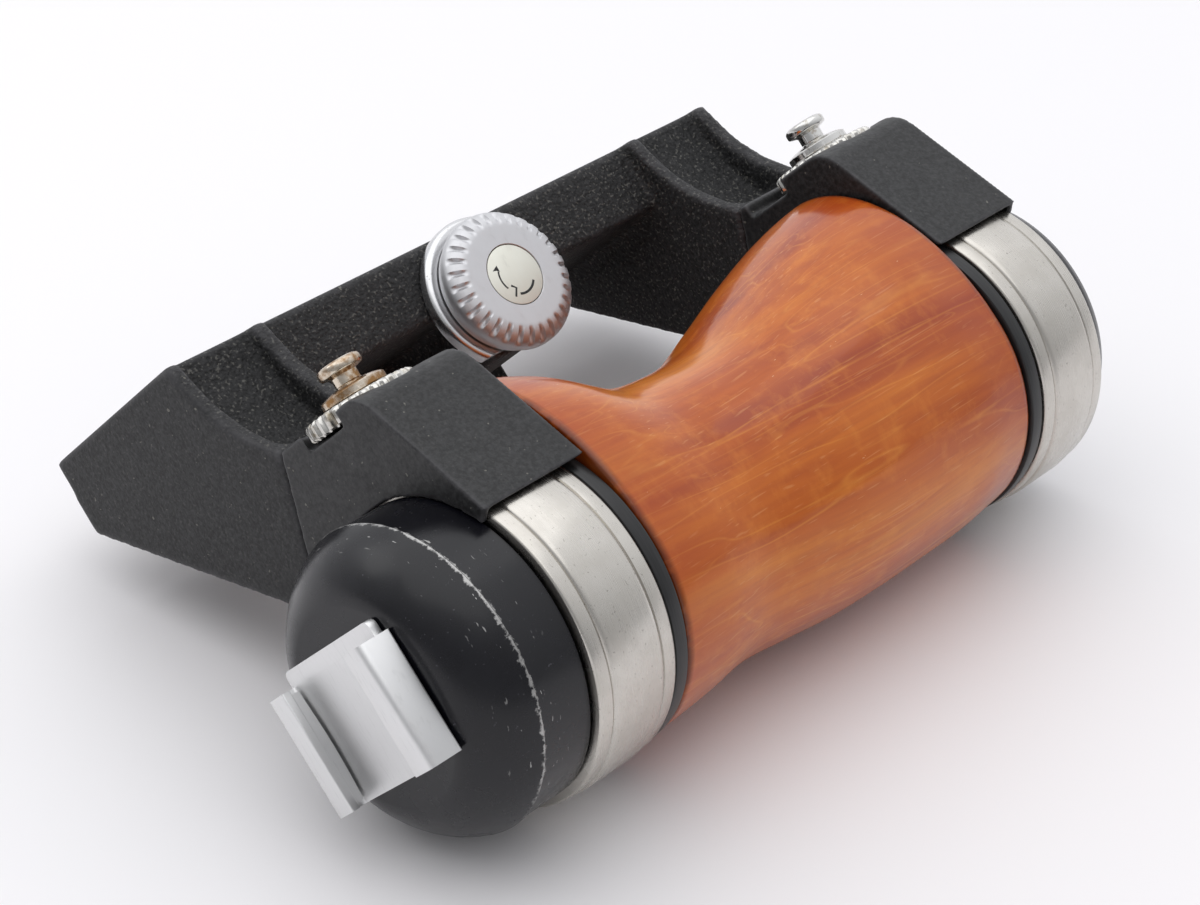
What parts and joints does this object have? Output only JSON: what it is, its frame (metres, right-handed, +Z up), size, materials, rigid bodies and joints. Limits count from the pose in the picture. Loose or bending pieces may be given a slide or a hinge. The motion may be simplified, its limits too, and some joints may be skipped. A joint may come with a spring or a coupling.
{
  "type": "camera hand grip",
  "caption": "Turned wooden hand grip with steel end bands, an accessory shoe and a cast bracket with a lock knob and clamp that fastens it to the side of a camera.",
  "frame": {"origin": "on the table under the middle of the grip as it lies on its side", "axes": "+X along the handle from the shoe end to the foot end, +Z up, the bracket on the +Y side"},
  "size_m": [0.1252, 0.096, 0.0488],
  "materials": {
    "wood": "gloss varnish over reddish brown wood",
    "bands": "satin turned",
    "rings": "black, semi matt",
    "caps": "black anodised, satin",
    "shoe": "satin chrome",
    "casting": "black crinkle paint on a light-alloy casting",
    "saddles": "black satin paint",
    "knob": "satin turned",
    "bright_metal": "plated, partly tarnished",
    "brass": "plain turned",
    "plain_steel": "plain turned",
    "plain_aluminium": "plain turned",
    "pads": "matt"
  },
  "bodies": {
    "grip": {"handle_wood": "wood", "upper_band": "bands", "lower_band": "bands", "upper_ring": "rings", "lower_ring": "rings", "upper_plug": "plain_aluminium", "lower_plug": "plain_aluminium", "tie_rod": "plain_steel", "tie_washer": "plain_steel", "tie_nut": "plain_steel", "top_cap": "caps", "bottom_cap": "caps", "shoe": "shoe", "shoe_spring": "shoe", "shoe_screw_1": "plain_steel", "shoe_screw_2": "plain_steel", "bracket": "casting", "upper_saddle": "saddles", "lower_saddle": "saddles", "upper_saddle_screw_1": "plain_steel", "upper_saddle_screw_2": "plain_steel", "lower_saddle_screw_1": "plain_steel", "lower_saddle_screw_2": "plain_steel", "upper_camera_pad": "pads", "lower_camera_pad": "pads", "clamp_cover": "saddles", "cover_screw_1": "plain_steel", "cover_screw_2": "plain_steel", "cover_screw_3": "plain_steel", "cover_screw_4": "plain_steel", "knob_flange": "bright_metal"},
    "lock_knob": {"knob": "knob", "knob_disc": "knob", "knob_shaft": "plain_steel", "shaft_ring": "plain_steel"},
    "clamp": {"clamp_bar": "plain_steel", "clamp_nut": "brass"},
    "upper_thumbscrew": {"upper_lug_post": "bright_metal", "upper_thumb_wheel": "bright_metal"},
    "lower_thumbscrew": {"lower_lug_post": "bright_metal", "lower_thumb_wheel": "bright_metal"},
    "upper_tip": {"upper_lock_tip": "brass"},
    "lower_tip": {"lower_lock_tip": "brass"}
  },
  "joints": [
    {"name": "knob_turn", "type": "hinge", "parent": "grip", "child": "lock_knob", "pos_m": [0.0076, 0.01427, 0.03448], "axis": [0, -0.7133, 0.7009], "range_deg": [-720, 0]},
    {"name": "clamp_slide", "type": "slide", "parent": "grip", "child": "clamp", "axis": [0, -0.7133, 0.7009], "range_m": [0, 0.002]},
    {"name": "upper_screw_turn", "type": "hinge", "parent": "grip", "child": "upper_thumbscrew", "pos_m": [-0.0364, -0.00527, 0.0417], "axis": [0, 0.7009, 0.7133], "range_deg": [0, 720]},
    {"name": "upper_tip_slide", "type": "slide", "parent": "grip", "child": "upper_tip", "axis": [0, 0.7009, 0.7133], "range_m": [0, 0.001]},
    {"name": "lower_screw_turn", "type": "hinge", "parent": "grip", "child": "lower_thumbscrew", "pos_m": [0.0516, -0.00527, 0.0417], "axis": [0, 0.7009, 0.7133], "range_deg": [0, 720]},
    {"name": "lower_tip_slide", "type": "slide", "parent": "grip", "child": "lower_tip", "axis": [0, 0.7009, 0.7133], "range_m": [0, 0.001]}
  ],
  "couplings": [
    {"joint": "knob_turn", "follows": "clamp_slide", "rad_per_m": -6280},
    {"joint": "upper_screw_turn", "follows": "upper_tip_slide", "rad_per_m": 12560},
    {"joint": "lower_screw_turn", "follows": "lower_tip_slide", "rad_per_m": 12560}
  ]
}
